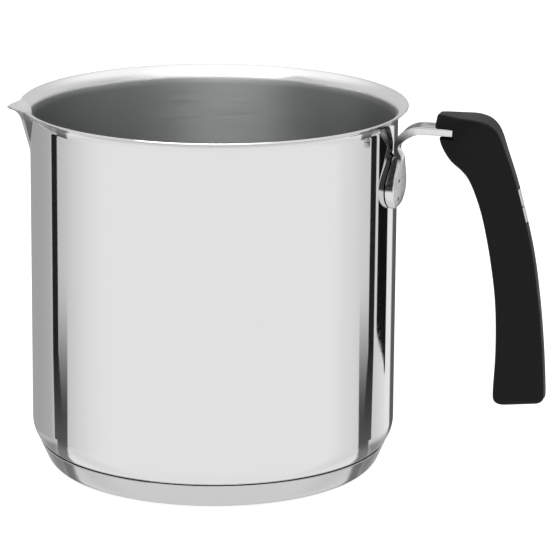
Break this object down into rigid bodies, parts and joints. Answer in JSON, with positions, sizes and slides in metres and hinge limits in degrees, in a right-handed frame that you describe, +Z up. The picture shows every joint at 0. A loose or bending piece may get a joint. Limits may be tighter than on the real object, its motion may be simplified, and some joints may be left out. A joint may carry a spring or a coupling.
{
  "type": "milk pan",
  "caption": "Tall straight-sided steel milk pan with a flared rim, pinched pouring spout, clad base and a black side handle on a steel bracket.",
  "frame": {"origin": "centre of the base's underside, on the pan's upright axis", "axes": "+Z up along the pan's axis, +X from the pan's axis towards the handle"},
  "size_m": [0.2077, 0.1498, 0.1452],
  "materials": {
    "polished_steel": "mirror polished stainless steel outside, satin brushed inside",
    "aluminium_core": "raw rolled aluminium, closed in by the base cap",
    "black_bakelite": "black moulded phenolic resin, satin",
    "plated_steel": "zinc plated steel"
  },
  "bodies": {
    "root": {"pan_body": "polished_steel", "heat_spreader_disc": "aluminium_core", "base_cap": "polished_steel", "handle_bracket": "polished_steel", "handle_grip": "black_bakelite", "handle_screw": "plated_steel", "screw_washer": "plated_steel", "handle_badge": "polished_steel"}
  },
  "joints": []
}
